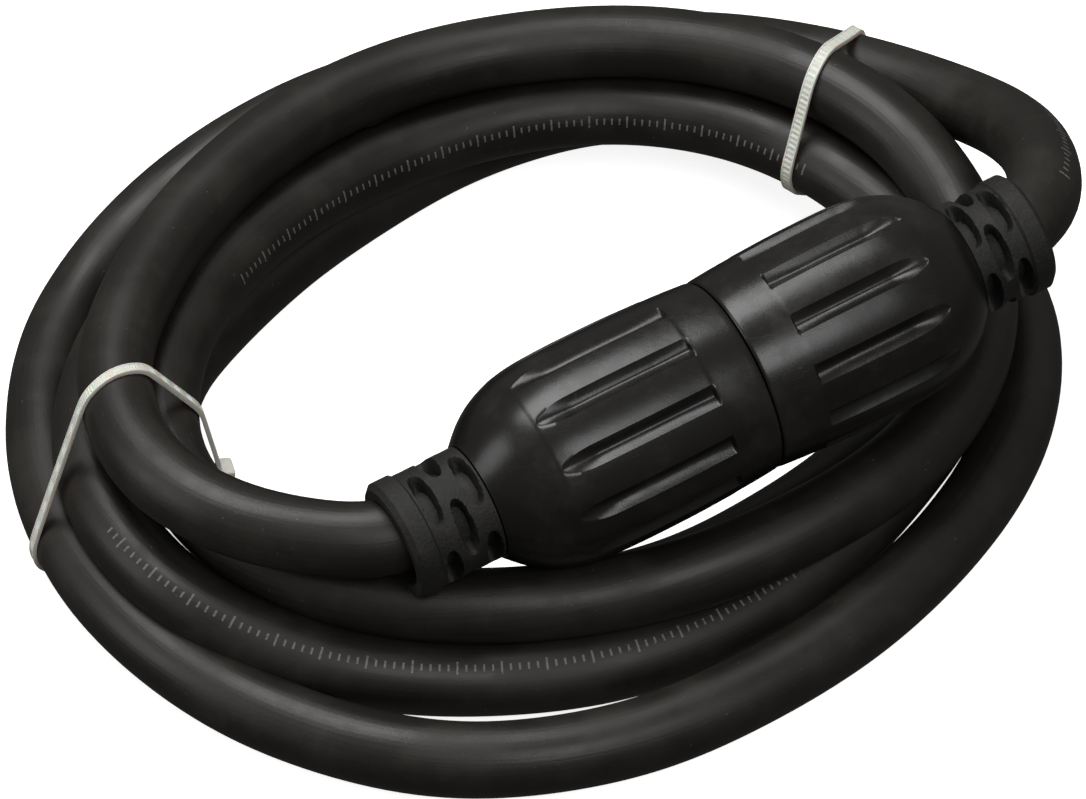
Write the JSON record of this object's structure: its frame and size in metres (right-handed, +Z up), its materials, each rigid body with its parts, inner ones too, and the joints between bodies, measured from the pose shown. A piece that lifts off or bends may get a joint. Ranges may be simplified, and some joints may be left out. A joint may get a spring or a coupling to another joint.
{
  "type": "shore power cord",
  "caption": "Heavy three-core shore power cord, its moulded plug mated into its connector, wound into a coil and held by cable ties.",
  "frame": {"origin": "middle of the bounding box's bottom, on the surface that the coil lies on", "axes": "+Z up, +X to the right with the plug on the left, +Y away from the side that the plug and connector lie on"},
  "size_m": [0.2462, 0.2341, 0.0815],
  "materials": {
    "cord_jacket": "satin, fine drawn lines along the jacket",
    "housing": "satin-gloss moulded vinyl",
    "strain_relief": "matte, fine spark-eroded grain",
    "face_insert": "matte",
    "contact_metal": "satin",
    "line_insulation": "satin",
    "neutral_insulation": "satin",
    "earth_insulation": "satin",
    "tie_nylon": "natural translucent nylon"
  },
  "bodies": {
    "coil_and_plug": {"plug_grip_shell": "housing", "plug_face_insert": "face_insert", "plug_strain_relief": "strain_relief", "plug_line_crimp": "contact_metal", "plug_neutral_crimp": "contact_metal", "plug_earth_crimp": "contact_metal", "plug_line_wire": "line_insulation", "plug_neutral_wire": "neutral_insulation", "plug_earth_wire": "earth_insulation", "plug_lead": "cord_jacket", "plug_line_blade": "contact_metal", "plug_neutral_blade": "contact_metal", "plug_earth_pin": "contact_metal", "cord_coil": "cord_jacket", "left_cable_tie": "tie_nylon", "right_cable_tie": "tie_nylon"},
    "connector": {"connector_grip_shell": "housing", "connector_face_insert": "face_insert", "connector_strain_relief": "strain_relief", "connector_line_crimp": "contact_metal", "connector_neutral_crimp": "contact_metal", "connector_earth_crimp": "contact_metal", "connector_line_wire": "line_insulation", "connector_neutral_wire": "neutral_insulation", "connector_earth_wire": "earth_insulation", "connector_lead": "cord_jacket", "connector_line_contact": "contact_metal", "connector_neutral_contact": "contact_metal", "connector_earth_sleeve": "contact_metal"}
  },
  "joints": [
    {"name": "connector_pull", "type": "slide", "parent": "coil_and_plug", "child": "connector", "axis": [0.8684, 0.4794, 0.1271], "range_m": [0, 0.03], "deforming": ["connector_lead"]}
  ]
}
